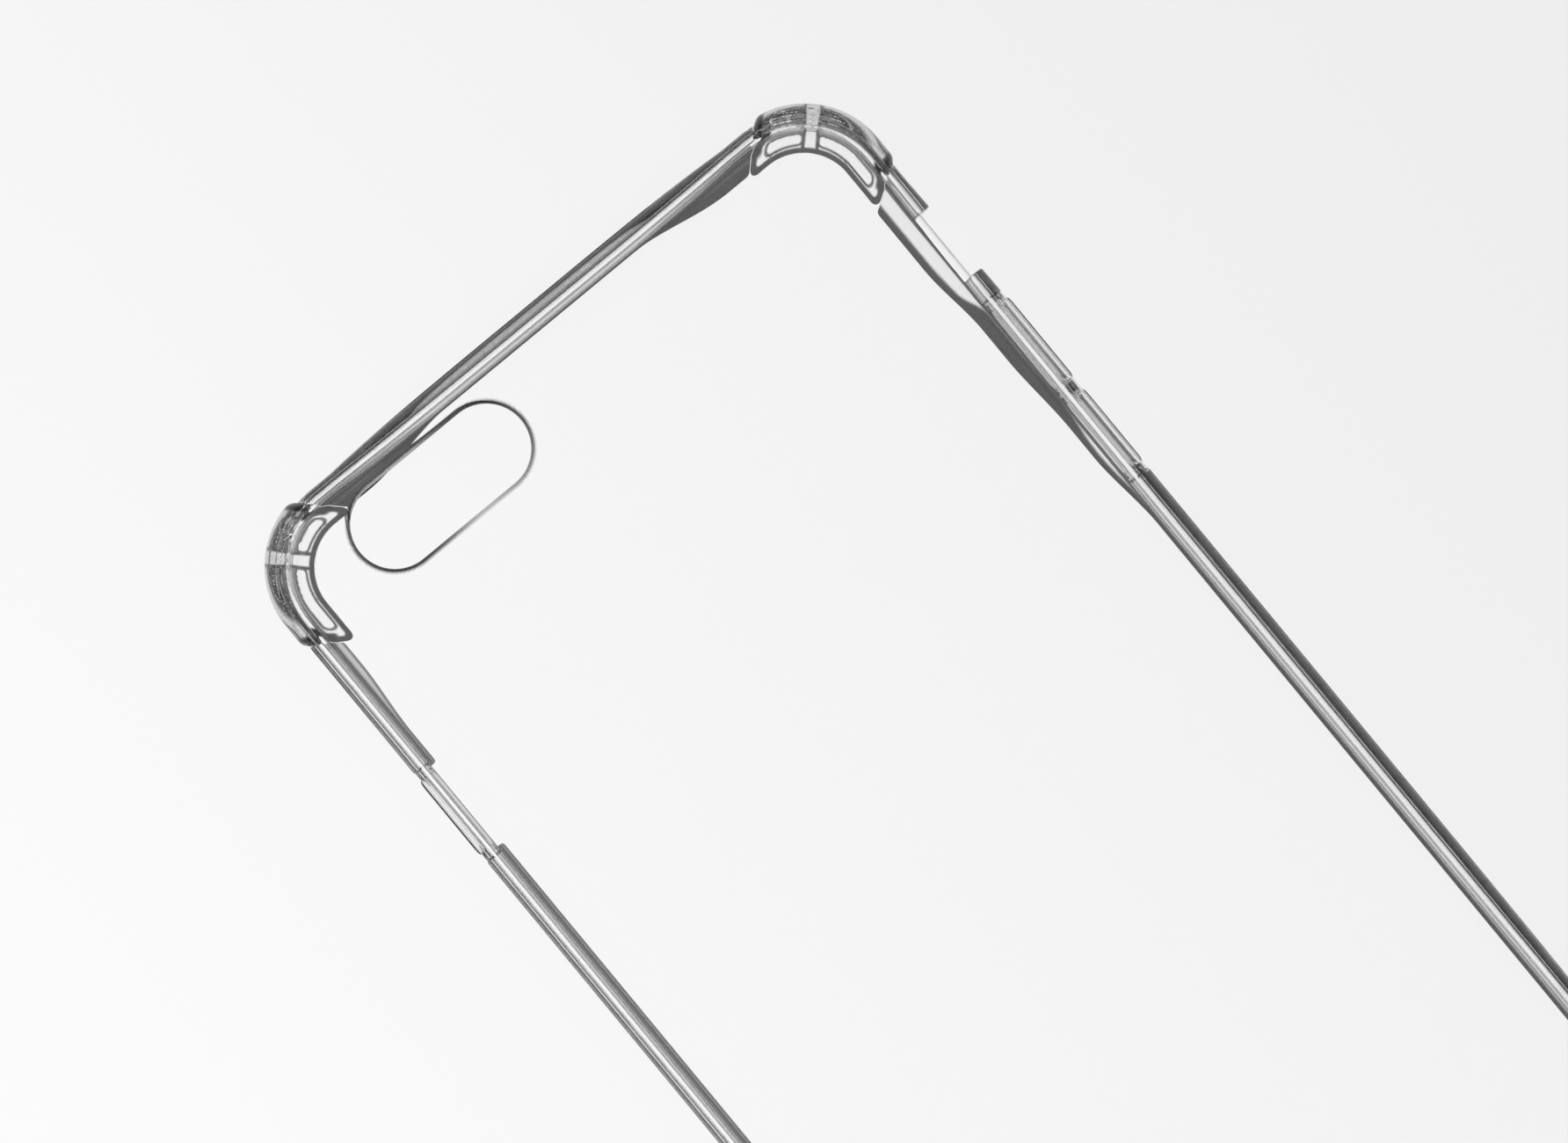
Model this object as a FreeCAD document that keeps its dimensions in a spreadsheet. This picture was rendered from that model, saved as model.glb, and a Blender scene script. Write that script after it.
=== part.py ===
import FreeCAD, Part
import Sketcher
import os

# Clear anti-shock case for a 5.5-inch-class phone, modelled as its separate
# pieces: a hard clear back shell, a soft bumper frame, four air-cell corner
# guards and three flexing key caps.
#
# Frame: +Z is up and leaves the outer face of the back, so the open side, with
# the lip, faces down and the case rests on the feet of its four corner guards.
# +Y points to the camera end, +X to the side with the two volume keys. The
# origin is the centre of the bottom of the bounding box. Millimetres.

os.makedirs("parts", exist_ok=True)
doc = FreeCAD.newDocument("phone_case")
V = FreeCAD.Vector

# --------------------------------------------------------------- dimensions
sheet = doc.addObject("Spreadsheet::Sheet", "Sizes")
ROWS = [
    # the space the phone fills
    ("cavity_half_wide", 39.1), ("cavity_half_long", 79.25), ("cavity_corner", 9.45),
    ("cavity_floor", 1.4), ("cavity_roof", 8.7),
    ("cavity_front_round", 2.0), ("cavity_back_round", 1.3),
    # outer form shared by the back shell and the bumper frame
    ("outer_half_wide", 40.35), ("outer_half_long", 80.5), ("outer_corner", 10.7),
    ("outer_low", 0.3), ("outer_high", 9.9),
    ("shoulder_round", 2.6), ("chin_round", 3.0),
    # joint between hard shell and soft frame: butt face with an inner tongue
    ("seam_high", 7.6), ("tongue_low", 7.0),
    ("tongue_half_wide", 39.6), ("tongue_half_long", 79.75), ("tongue_corner", 9.95),
    # thin wall of the frame that runs on inside each corner guard, under the tongue
    ("band_low", 2.6),
    # lip that holds the phone along the rails
    ("lip_half_wide", 38.1), ("lip_half_long", 78.25), ("lip_corner", 8.4),
    # corner guards
    ("guard_half_wide", 40.9), ("guard_half_long", 81.05), ("guard_corner", 10.1),
    ("guard_low", 0.0), ("guard_high", 9.85),
    ("guard_shoulder", 3.2), ("guard_chin", 3.0),
    ("guard_lip_half_wide", 36.2), ("guard_lip_half_long", 76.35), ("guard_lip_corner", 6.0),
    ("cell_half_wide", 40.05), ("cell_half_long", 80.2), ("cell_corner", 9.25),
    ("cell_low", 3.2), ("cell_high", 6.6), ("cell_rib", 1.7), ("cell_end_gap", 1.3),
    ("groove_out_wide", 38.55), ("groove_out_long", 78.7), ("groove_out_corner", 8.0),
    ("groove_in_wide", 37.35), ("groove_in_long", 77.5), ("groove_in_corner", 6.9),
    ("groove_low", 1.0),
    # guard zone outline, first quadrant
    ("zone_side_far", 71.3), ("zone_reach_wide", 46.0), ("zone_reach_long", 86.0),
    ("zone_end_far", 37.15), ("zone_end_wide", 24.1), ("zone_end_long", 73.0),
    ("zone_side_wide", 34.0), ("zone_side_long", 63.8),
    # camera opening
    ("camera_long", 22.1), ("camera_tall", 9.5), ("camera_mid_wide", -18.6), ("camera_mid_long", 71.9),
    # side openings: low and high edge of every one
    ("side_low", 2.0), ("side_high", 8.2),
    ("mute_long", 8.5), ("mute_mid", 57.5), ("mute_scoop", 39.1),
    ("charge_long", 13.6), ("charge_mid", 0.0),
    ("jack_long", 17.5), ("jack_mid", 19.4),
    ("speaker_long", 17.5), ("speaker_mid", -19.4),
    # keys
    ("key_low", 3.3), ("key_high", 6.4), ("key_face", 40.55), ("key_back", 39.12),
    ("flange_thick", 0.3), ("flange_margin", 0.3), ("key_slack", 0.12),
    ("key_round", 0.35), ("key_corner", 1.1), ("rebate_face", 39.5),
    ("volume_up_long", 11.2), ("volume_up_mid", 43.6),
    ("volume_down_long", 10.1), ("volume_down_mid", 31.45),
    ("power_long", 10.3), ("power_mid", 44.05),
    # thinned wall around the keys, and the gap in the lip below the power key
    ("moat_face", 39.8),
    ("moat_right_low", 25.5), ("moat_right_high", 50.1),
    ("moat_left_low", 38.0), ("moat_left_high", 50.1),
    ("notch_face", 39.15), ("notch_high", 2.6), ("notch_deep", 6.0),
    ("notch_left_low", 38.56), ("notch_left_high", 49.72),
]
for row, (name, value) in enumerate(ROWS, start=1):
    sheet.set("A%d" % row, name)
    sheet.set("B%d" % row, repr(float(value)))
    sheet.setAlias("B%d" % row, name)
doc.recompute()


def val(text):
    """Value of an expression, to start a sketch near its solution."""
    value = sheet.evalExpression(text)
    return float(getattr(value, "Value", value))


def plane(body, role):
    for feature in body.Origin.OriginFeatures:
        if feature.Role == role:
            return feature
    raise RuntimeError("no " + role)


def sketch_on(body, name, role="XY_Plane"):
    sk = body.newObject("Sketcher::SketchObject", name)
    sk.AttachmentSupport = [(plane(body, role), "")]
    sk.MapMode = "FlatFace"
    return sk


def bind(sk, index, expression):
    sk.setExpression("Constraints[%d]" % index, expression)


def rounded_rectangle(sk, half_a, half_b, radius):
    """Centred rounded rectangle, fully constrained. Arguments are expressions."""
    a, b, r = val(half_a), val(half_b), val(radius)
    z = V(0, 0, 1)
    pi = 3.141592653589793
    sk.addGeometry([
        Part.LineSegment(V(-a + r, -b, 0), V(a - r, -b, 0)),
        Part.ArcOfCircle(Part.Circle(V(a - r, -b + r, 0), z, r), -pi / 2, 0),
        Part.LineSegment(V(a, -b + r, 0), V(a, b - r, 0)),
        Part.ArcOfCircle(Part.Circle(V(a - r, b - r, 0), z, r), 0, pi / 2),
        Part.LineSegment(V(a - r, b, 0), V(-a + r, b, 0)),
        Part.ArcOfCircle(Part.Circle(V(-a + r, b - r, 0), z, r), pi / 2, pi),
        Part.LineSegment(V(-a, b - r, 0), V(-a, -b + r, 0)),
        Part.ArcOfCircle(Part.Circle(V(-a + r, -b + r, 0), z, r), pi, 1.5 * pi),
    ], False)
    C = Sketcher.Constraint
    for i in range(8):
        sk.addConstraint(C("Tangent", i, 2, (i + 1) % 8, 1))
    for i in (0, 4):
        sk.addConstraint(C("Horizontal", i))
    for i in (2, 6):
        sk.addConstraint(C("Vertical", i))
    for i in (3, 5, 7):
        sk.addConstraint(C("Equal", 1, i))
    bind(sk, sk.addConstraint(C("Radius", 1, r)), radius)
    bind(sk, sk.addConstraint(C("DistanceY", 0, 1, -1, 1, b)), half_b)
    bind(sk, sk.addConstraint(C("DistanceY", -1, 1, 4, 1, b)), half_b)
    bind(sk, sk.addConstraint(C("DistanceX", -1, 1, 2, 1, a)), half_a)
    bind(sk, sk.addConstraint(C("DistanceX", 6, 1, -1, 1, a)), half_a)


def stadium_outline(sk, long, tall):
    """Centred stadium, long axis along the sketch's X. Arguments are expressions."""
    a, r = val(long) / 2 - val(tall) / 2, val(tall) / 2
    z = V(0, 0, 1)
    pi = 3.141592653589793
    sk.addGeometry([
        Part.LineSegment(V(-a, -r, 0), V(a, -r, 0)),
        Part.ArcOfCircle(Part.Circle(V(a, 0, 0), z, r), -pi / 2, pi / 2),
        Part.LineSegment(V(a, r, 0), V(-a, r, 0)),
        Part.ArcOfCircle(Part.Circle(V(-a, 0, 0), z, r), pi / 2, 1.5 * pi),
    ], False)
    C = Sketcher.Constraint
    for i in range(4):
        sk.addConstraint(C("Tangent", i, 2, (i + 1) % 4, 1))
    sk.addConstraint(C("Horizontal", 0))
    sk.addConstraint(C("PointOnObject", 1, 3, -1))
    bind(sk, sk.addConstraint(C("Radius", 1, r)), "(%s) / 2" % tall)
    bind(sk, sk.addConstraint(C("DistanceX", -1, 1, 1, 3, a)), "((%s) - (%s)) / 2" % (long, tall))
    bind(sk, sk.addConstraint(C("DistanceX", 3, 3, -1, 1, a)), "((%s) - (%s)) / 2" % (long, tall))


def pad(body, sk, length, name, reverse=False):
    feature = body.newObject("PartDesign::Pad", name)
    feature.Profile = sk
    feature.Length = 1.0
    feature.setExpression("Length", length)
    feature.Reversed = reverse
    sk.Visibility = False
    return feature


def edges_at(shape, test):
    names = []
    for i, edge in enumerate(shape.Edges, start=1):
        if all(test(p) for p in edge.discretize(5)):
            names.append("Edge%d" % i)
    return names


def fillet(body, base, names, radius, label):
    feature = body.newObject("PartDesign::Fillet", label)
    feature.Base = (base, names)
    feature.setExpression("Radius", radius)
    return feature


def rounded_form(name, half_a, half_b, radius, low, high, top=None, bottom=None):
    """Rounded-rectangle block from low to high, with optional edge rounding."""
    body = doc.addObject("PartDesign::Body", name)
    sk = sketch_on(body, name + "_outline")
    rounded_rectangle(sk, half_a, half_b, radius)
    block = pad(body, sk, "%s - (%s)" % (high, low), name + "_pad")
    doc.recompute()
    last = block
    span = val(high) - val(low)
    for which, level, size in (("top", span, top), ("bottom", 0.0, bottom)):
        if size:
            names = edges_at(last.Shape, lambda p: abs(p.z - level) < 1e-6)
            if len(names) != 8:
                raise RuntimeError("%s: %d %s edges" % (name, len(names), which))
            last = fillet(body, last, names, size, "%s_%s_round" % (name, which))
            doc.recompute()
    body.setExpression("Placement.Base.z", low)
    doc.recompute()
    return body


def stadium_tool(name, role, long, tall, depth, mid_x, mid_y, mid_z):
    """Stadium-shaped cutting tool, centred on mid_x, mid_y, mid_z."""
    body = doc.addObject("PartDesign::Body", name)
    sk = sketch_on(body, name + "_outline", role)
    doc.recompute()
    stadium_outline(sk, long, tall)
    block = pad(body, sk, depth, name + "_pad")
    block.Midplane = True
    body.setExpression("Placement.Base.x", mid_x)
    body.setExpression("Placement.Base.y", mid_y)
    body.setExpression("Placement.Base.z", mid_z)
    doc.recompute()
    return body


def block(name, x0, x1, y0, y1, z0, z1):
    box = doc.addObject("Part::Box", name)
    for prop, low, high in (("Length", x0, x1), ("Width", y0, y1), ("Height", z0, z1)):
        box.setExpression(prop, "(%s) - (%s)" % (high, low))
    for axis, low in (("x", x0), ("y", y0), ("z", z0)):
        box.setExpression("Placement.Base." + axis, low)
    return box


def fuse(name, parts):
    f = doc.addObject("Part::MultiFuse", name)
    f.Shapes = parts
    return f


def common(name, parts):
    f = doc.addObject("Part::MultiCommon", name)
    f.Shapes = parts
    return f


def cut(name, base, tool):
    f = doc.addObject("Part::Cut", name)
    f.Base = base
    f.Tool = tool
    return f


def mirror(name, source, normal):
    f = doc.addObject("Part::Mirroring", name)
    f.Source = source
    f.Base = V(0, 0, 0)
    f.Normal = normal
    return f


S = "Sizes."

# ------------------------------------------------------------- basic forms
cavity = rounded_form("cavity_form", S + "cavity_half_wide", S + "cavity_half_long", S + "cavity_corner",
                      S + "cavity_floor", S + "cavity_roof", S + "cavity_back_round", S + "cavity_front_round")
outer = rounded_form("outer_form", S + "outer_half_wide", S + "outer_half_long", S + "outer_corner",
                     S + "outer_low", S + "outer_high", S + "shoulder_round", S + "chin_round")
guard_form = rounded_form("guard_form", S + "guard_half_wide", S + "guard_half_long", S + "guard_corner",
                          S + "guard_low", S + "guard_high", S + "guard_shoulder", S + "guard_chin")
tongue = rounded_form("tongue_form", S + "tongue_half_wide", S + "tongue_half_long", S + "tongue_corner",
                      S + "tongue_low", S + "seam_high + 0.5")
lip_hole = rounded_form("lip_opening", S + "lip_half_wide", S + "lip_half_long", S + "lip_corner",
                        S + "outer_low - 2", S + "cavity_floor + 3")
guard_lip_hole = rounded_form("guard_lip_opening", S + "guard_lip_half_wide", S + "guard_lip_half_long",
                              S + "guard_lip_corner", S + "guard_low - 2", S + "cavity_floor + 3")
cell_form = rounded_form("cell_form", S + "cell_half_wide", S + "cell_half_long", S + "cell_corner",
                         S + "cell_low", S + "cell_high")
groove_out = rounded_form("groove_outside", S + "groove_out_wide", S + "groove_out_long", S + "groove_out_corner",
                          S + "groove_low", S + "cavity_floor + 2")
groove_in = rounded_form("groove_inside", S + "groove_in_wide", S + "groove_in_long", S + "groove_in_corner",
                         S + "groove_low - 1", S + "cavity_floor + 3")

# ------------------------------------------------------------ openings
camera_hole = stadium_tool("camera_opening", "XY_Plane", S + "camera_long", S + "camera_tall", "12",
                           S + "camera_mid_wide", S + "camera_mid_long", S + "outer_high")
side_tall = S + "side_high - " + S + "side_low"
side_mid = "(" + S + "side_high + " + S + "side_low) / 2"
mute_hole = stadium_tool("mute_opening", "YZ_Plane", S + "mute_long", side_tall, "8",
                         S + "outer_half_wide", S + "mute_mid", side_mid)
charge_hole = stadium_tool("charge_opening", "XZ_Plane", S + "charge_long", side_tall, "8",
                           S + "charge_mid", "-" + S + "outer_half_long", side_mid)
jack_hole = stadium_tool("jack_opening", "XZ_Plane", S + "jack_long", side_tall, "8",
                         S + "jack_mid", "-" + S + "outer_half_long", side_mid)
speaker_hole = stadium_tool("speaker_opening", "XZ_Plane", S + "speaker_long", side_tall, "8",
                            S + "speaker_mid", "-" + S + "outer_half_long", side_mid)
mute_scoop = block("mute_scoop_tool", S + "mute_scoop", S + "mute_scoop + 4",
                   S + "mute_mid - " + S + "mute_long / 2", S + "mute_mid + " + S + "mute_long / 2",
                   "-1", S + "outer_high + 1")
openings = fuse("wall_openings", [mute_hole, charge_hole, jack_hole, speaker_hole, mute_scoop])

# ------------------------------------------------------------ guard zones
zone_body = doc.addObject("PartDesign::Body", "guard_zone")
zone_sketch = sketch_on(zone_body, "guard_zone_outline")
corners = [(S + "zone_reach_wide", S + "zone_side_far"), (S + "zone_reach_wide", S + "zone_reach_long"),
           (S + "zone_end_far", S + "zone_reach_long"), (S + "zone_end_wide", S + "zone_end_long"),
           (S + "zone_side_wide", S + "zone_side_long")]
pts = [V(val(a), val(b), 0) for a, b in corners]
for i in range(5):
    zone_sketch.addGeometry(Part.LineSegment(pts[i], pts[(i + 1) % 5]), False)
for i in range(5):
    zone_sketch.addConstraint(Sketcher.Constraint("Coincident", i, 2, (i + 1) % 5, 1))
for i, (ex, ey) in enumerate(corners):
    bind(zone_sketch, zone_sketch.addConstraint(Sketcher.Constraint("DistanceX", -1, 1, i, 1, pts[i].x)), ex)
    bind(zone_sketch, zone_sketch.addConstraint(Sketcher.Constraint("DistanceY", -1, 1, i, 1, pts[i].y)), ey)
pad(zone_body, zone_sketch, S + "outer_high + 4", "guard_zone_pad")
zone_body.setExpression("Placement.Base.z", "-2")
doc.recompute()
zone_tl = mirror("guard_zone_left", zone_body, V(1, 0, 0))
zone_br = mirror("guard_zone_low_right", zone_body, V(0, 1, 0))
zone_bl = mirror("guard_zone_low_left", zone_tl, V(0, 1, 0))
zones = fuse("guard_zones", [zone_body, zone_tl, zone_br, zone_bl])

# ------------------------------------------------------------ back shell
# The hard clear plate with its rounded shoulders: the outer form above the
# tongue level, less the phone space; outside the tongue it stops at the seam.
high_half = block("above_tongue", "-60", "60", "-100", "100", S + "tongue_low", S + "outer_high + 2")
upper = common("upper_form", [outer, high_half])
rim_block = block("rim_block", "-60", "60", "-100", "100", S + "tongue_low - 1", S + "seam_high")
rim_ring = cut("rim_ring", rim_block, tongue)
shell_blank = cut("shell_blank", upper, fuse("shell_hollow", [cavity, rim_ring]))
back_shell = cut("back_shell_piece", shell_blank, fuse("shell_openings", [camera_hole, openings]))
back_shell.Label = "back_shell"
doc.recompute()


# ------------------------------------------------------------ keys
def key_piece(name, side, long, mid):
    """Key cap on a thin flange. side is +1 for the +X wall and -1 for the -X wall."""
    body = doc.addObject("PartDesign::Body", name + "_piece")
    body.Label = name
    tall = S + "key_high - " + S + "key_low"
    grow = " + 2 * " + S + "flange_margin"
    sk = sketch_on(body, name + "_flange_outline", "YZ_Plane")
    doc.recompute()
    rounded_rectangle(sk, "(" + S + long + grow + ") / 2", "(" + tall + grow + ") / 2",
                      S + "key_corner + " + S + "flange_margin")
    pad(body, sk, S + "flange_thick", name + "_flange")
    doc.recompute()
    sk2 = sketch_on(body, name + "_cap_outline", "YZ_Plane")
    doc.recompute()
    rounded_rectangle(sk2, S + long + " / 2", "(" + tall + ") / 2", S + "key_corner")
    cap = pad(body, sk2, S + "key_face - " + S + "key_back", name + "_cap")
    doc.recompute()
    reach = sheet.get("key_face") - sheet.get("key_back")
    names = edges_at(cap.Shape, lambda p: abs(p.x - reach) < 1e-6)
    fillet(body, cap, names, S + "key_round", name + "_cap_round")
    if side < 0:
        body.Placement = FreeCAD.Placement(V(0, 0, 0), FreeCAD.Rotation(V(0, 0, 1), 180))
        body.setExpression("Placement.Base.x", "-" + S + "key_back")
    else:
        body.setExpression("Placement.Base.x", S + "key_back")
    body.setExpression("Placement.Base.y", S + mid)
    body.setExpression("Placement.Base.z", "(" + S + "key_high + " + S + "key_low) / 2")
    doc.recompute()
    return body


def key_window(name, side, long, mid):
    """Opening for the cap and rebate for its flange, as one cutting tool."""
    pieces = []
    for label, grow, x0, x1, radius in (
            ("window", S + "key_slack", S + "key_back - 1.5", S + "key_face + 1.5", S + "key_corner"),
            ("rebate", S + "flange_margin + " + S + "key_slack", S + "key_back - 1.5", S + "rebate_face",
             S + "key_corner + " + S + "flange_margin")):
        body = doc.addObject("PartDesign::Body", name + "_" + label)
        sk = sketch_on(body, name + "_" + label + "_outline", "YZ_Plane")
        doc.recompute()
        rounded_rectangle(sk, S + long + " / 2 + " + grow,
                          "(" + S + "key_high - " + S + "key_low) / 2 + " + grow,
                          radius + " + " + S + "key_slack")
        pad(body, sk, "(%s) - (%s)" % (x1, x0), name + "_" + label + "_pad")
        if side < 0:
            body.Placement = FreeCAD.Placement(V(0, 0, 0), FreeCAD.Rotation(V(0, 0, 1), 180))
            body.setExpression("Placement.Base.x", "-(%s)" % x0)
        else:
            body.setExpression("Placement.Base.x", x0)
        body.setExpression("Placement.Base.y", S + mid)
        body.setExpression("Placement.Base.z", "(" + S + "key_high + " + S + "key_low) / 2")
        pieces.append(body)
    doc.recompute()
    return pieces


volume_up = key_piece("volume_up_key", 1, "volume_up_long", "volume_up_mid")
volume_down = key_piece("volume_down_key", 1, "volume_down_long", "volume_down_mid")
power = key_piece("power_key", -1, "power_long", "power_mid")
key_tools = (key_window("volume_up", 1, "volume_up_long", "volume_up_mid")
             + key_window("volume_down", 1, "volume_down_long", "volume_down_mid")
             + key_window("power", -1, "power_long", "power_mid"))

# ------------------------------------------------------------ bumper frame
# Soft wall and lip round the phone. At each corner only a thin inner wall runs
# on, and the corner guard sits round it.
# Beside the keys the wall is thinned so that it flexes, and the lip is left out
# below the power key.
moat_right = block("moat_right", S + "moat_face", S + "moat_face + 5",
                   S + "moat_right_low", S + "moat_right_high", "-1", S + "seam_high")
moat_left = block("moat_left", "-" + S + "moat_face - 5", "-" + S + "moat_face",
                  S + "moat_left_low", S + "moat_left_high", "-1", S + "seam_high")
notch_left = block("lip_gap_left", "-" + S + "notch_face", "-" + S + "notch_face + " + S + "notch_deep",
                   S + "notch_left_low", S + "notch_left_high", "-1", S + "notch_high")
wall_blank = cut("wall_blank", outer, fuse("frame_hollow", [cavity, lip_hole]))
wall_low = cut("wall_below_shell", wall_blank, shell_blank)
rails = cut("wall_with_guard_gaps", wall_low, zones)
band_form = rounded_form("band_form", S + "tongue_half_wide", S + "tongue_half_long", S + "tongue_corner",
                         S + "band_low", S + "tongue_low")
band = cut("band_ring", band_form, cavity)
wall_gapped = fuse("wall_with_corner_bands", [rails, band])
bumper = cut("bumper_frame_piece", wall_gapped,
             fuse("frame_openings", [openings, moat_right, moat_left, notch_left] + key_tools))
bumper.Label = "bumper_frame"
doc.recompute()

# ------------------------------------------------------------ corner guards
# Thick corner with two air cells, closed by the frame's inner wall, a rib
# between them on the corner's diagonal, and a shallow groove in the lip.
guard_blank = common("guard_blank", [zone_body, guard_form])
guard_open = cut("guard_open", guard_blank, fuse("guard_hollow", [cavity, guard_lip_hole]))
guard_low = cut("guard_below_shell", guard_open, fuse("shell_and_band", [shell_blank, band]))

inner_zone = doc.addObject("PartDesign::Body", "cell_zone")
cz = sketch_on(inner_zone, "cell_zone_outline")
doc.recompute()
gap = sheet.get("cell_end_gap")
# the zone outline moved in from its two slanted ends by the end gap
cell_corners = [(pts[0].x, pts[0].y + gap * 1.18), (pts[1].x, pts[1].y), (pts[2].x + gap * 1.42, pts[2].y),
                (pts[3].x + gap * 1.42, pts[3].y), (pts[4].x, pts[4].y + gap * 1.18)]
for i in range(5):
    a, b = cell_corners[i], cell_corners[(i + 1) % 5]
    cz.addGeometry(Part.LineSegment(V(a[0], a[1], 0), V(b[0], b[1], 0)), False)
for i in range(5):
    cz.addConstraint(Sketcher.Constraint("Coincident", i, 2, (i + 1) % 5, 1))
shift_y = " + 1.18 * " + S + "cell_end_gap"
shift_x = " + 1.42 * " + S + "cell_end_gap"
cell_expr = [(S + "zone_reach_wide", S + "zone_side_far" + shift_y), (S + "zone_reach_wide", S + "zone_reach_long"),
             (S + "zone_end_far" + shift_x, S + "zone_reach_long"),
             (S + "zone_end_wide" + shift_x, S + "zone_end_long"),
             (S + "zone_side_wide", S + "zone_side_long" + shift_y)]
for i, (ex, ey) in enumerate(cell_expr):
    bind(cz, cz.addConstraint(Sketcher.Constraint("DistanceX", -1, 1, i, 1, cell_corners[i][0])), ex)
    bind(cz, cz.addConstraint(Sketcher.Constraint("DistanceY", -1, 1, i, 1, cell_corners[i][1])), ey)
pad(inner_zone, cz, S + "outer_high + 4", "cell_zone_pad")
inner_zone.setExpression("Placement.Base.z", "-2")

# the rib stands on the diagonal through the centre of the corner arc
rib = doc.addObject("Part::Box", "cell_rib_block")
rib.setExpression("Length", "30")
rib.setExpression("Width", S + "cell_rib")
rib.setExpression("Height", S + "outer_high + 4")
rib.Placement = FreeCAD.Placement(V(0, 0, 0), FreeCAD.Rotation(V(0, 0, 1), 45))
rib.setExpression("Placement.Base.x", S + "guard_half_wide - " + S + "guard_corner - 7.0710678 + 0.35355339 * "
                  + S + "cell_rib * 2")
rib.setExpression("Placement.Base.y", S + "guard_half_long - " + S + "guard_corner - 7.0710678 - 0.35355339 * "
                  + S + "cell_rib * 2")
rib.setExpression("Placement.Base.z", "-2")
doc.recompute()

cell_space = common("cell_space", [cell_form, inner_zone])
cells = cut("air_cells", cell_space, rib)
groove_band = cut("groove_band", groove_out, groove_in)
groove_space = common("groove_space", [groove_band, inner_zone])
grooves = cut("lip_grooves", groove_space, rib)
guard_tr = cut("corner_guard_top_right_piece", guard_low, fuse("guard_recesses", [cells, grooves]))
guard_tr.Label = "corner_guard_top_right"
guard_tl = mirror("corner_guard_top_left_piece", guard_tr, V(1, 0, 0))
guard_tl.Label = "corner_guard_top_left"
guard_br = mirror("corner_guard_bottom_right_piece", guard_tr, V(0, 1, 0))
guard_br.Label = "corner_guard_bottom_right"
guard_bl = mirror("corner_guard_bottom_left_piece", guard_br, V(1, 0, 0))
guard_bl.Label = "corner_guard_bottom_left"
doc.recompute()

# ------------------------------------------------------------ verify, write
PIECES = [back_shell, bumper, guard_tl, guard_tr, guard_bl, guard_br, volume_up, volume_down, power]

bad = [o.Name for o in doc.Objects if "Invalid" in o.State or "Error" in o.State]
if bad:
    raise RuntimeError("failed objects: " + ", ".join(bad))

# every cutting step has to remove material
for step in (shell_blank, back_shell, wall_blank, wall_low, rails, band, bumper, guard_open, guard_low,
             cells, grooves, guard_tr):
    if not step.Shape.Volume < step.Base.Shape.Volume - 1e-3:
        raise RuntimeError(step.Name + " removed nothing")
for tool in list(key_tools) + [notch_left, moat_right, moat_left, mute_hole, charge_hole,
                               jack_hole, speaker_hole, mute_scoop]:
    if wall_gapped.Shape.common(tool.Shape).Volume < 1e-3:
        raise RuntimeError(tool.Name + " misses the wall")
if shell_blank.Shape.common(camera_hole.Shape).Volume < 1:
    raise RuntimeError("camera opening misses the plate")

labels = set()
box = None
for piece in PIECES:
    shape = piece.Shape
    if shape.isNull() or not shape.isValid():
        raise RuntimeError(piece.Label + " is not a valid shape")
    if piece.Label in labels:
        raise RuntimeError("label used twice: " + piece.Label)
    labels.add(piece.Label)
    if box is None:
        box = shape.optimalBoundingBox(False)
    else:
        box.add(shape.optimalBoundingBox(False))
    bb = shape.optimalBoundingBox(False)
    print("%-28s solids %d volume %9.3f  x %7.2f %7.2f  y %7.2f %7.2f  z %5.2f %5.2f" % (
        piece.Label, len(shape.Solids), shape.Volume, bb.XMin, bb.XMax, bb.YMin, bb.YMax, bb.ZMin, bb.ZMax))
    shape.exportStep("parts/%s.step" % piece.Label)
print("whole: %.3f x %.3f x %.3f from z %.3f" % (box.XLength, box.YLength, box.ZLength, box.ZMin))
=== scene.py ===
import bpy, math
import numpy as np
from mathutils import Vector, Matrix


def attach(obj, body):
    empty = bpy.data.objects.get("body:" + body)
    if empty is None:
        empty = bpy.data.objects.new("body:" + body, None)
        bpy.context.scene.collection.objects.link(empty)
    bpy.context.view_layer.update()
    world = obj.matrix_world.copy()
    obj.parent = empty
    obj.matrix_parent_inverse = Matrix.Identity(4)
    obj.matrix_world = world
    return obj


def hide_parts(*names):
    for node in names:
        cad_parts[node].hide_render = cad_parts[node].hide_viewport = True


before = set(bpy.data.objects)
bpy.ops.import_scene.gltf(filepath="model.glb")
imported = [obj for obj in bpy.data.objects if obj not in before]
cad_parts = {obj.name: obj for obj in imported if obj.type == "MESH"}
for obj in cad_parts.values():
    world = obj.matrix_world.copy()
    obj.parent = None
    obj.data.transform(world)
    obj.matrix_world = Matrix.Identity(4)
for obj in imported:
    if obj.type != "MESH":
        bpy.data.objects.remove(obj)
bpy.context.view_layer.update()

MM = 0.001
F32 = np.float32

# =====================================================================
# Measures of the case in millimetres, the same as the CAD part's sheet
# =====================================================================
CAV = dict(hx=39.1, hy=79.25, r=9.45, z0=1.4, z1=8.7, rt=1.3, rb=2.0)
OUT = dict(hx=40.35, hy=80.5, r=10.7, z0=0.3, z1=9.9, rt=2.6, rb=3.0)
GRD = dict(hx=40.9, hy=81.05, r=10.1, z0=0.02, z1=9.98, rt=3.2, rb=2.6)
SEAM, TONGUE = 7.6, 7.0

# =====================================================================
# Signed distance pieces (numpy, any broadcastable arrays)
# =====================================================================
def rr(x, y, hx, hy, r):
    qx = np.abs(x) - (hx - r)
    qy = np.abs(y) - (hy - r)
    return np.sqrt(np.maximum(qx, 0) ** 2 + np.maximum(qy, 0) ** 2) + np.minimum(np.maximum(qx, qy), 0) - r


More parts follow.
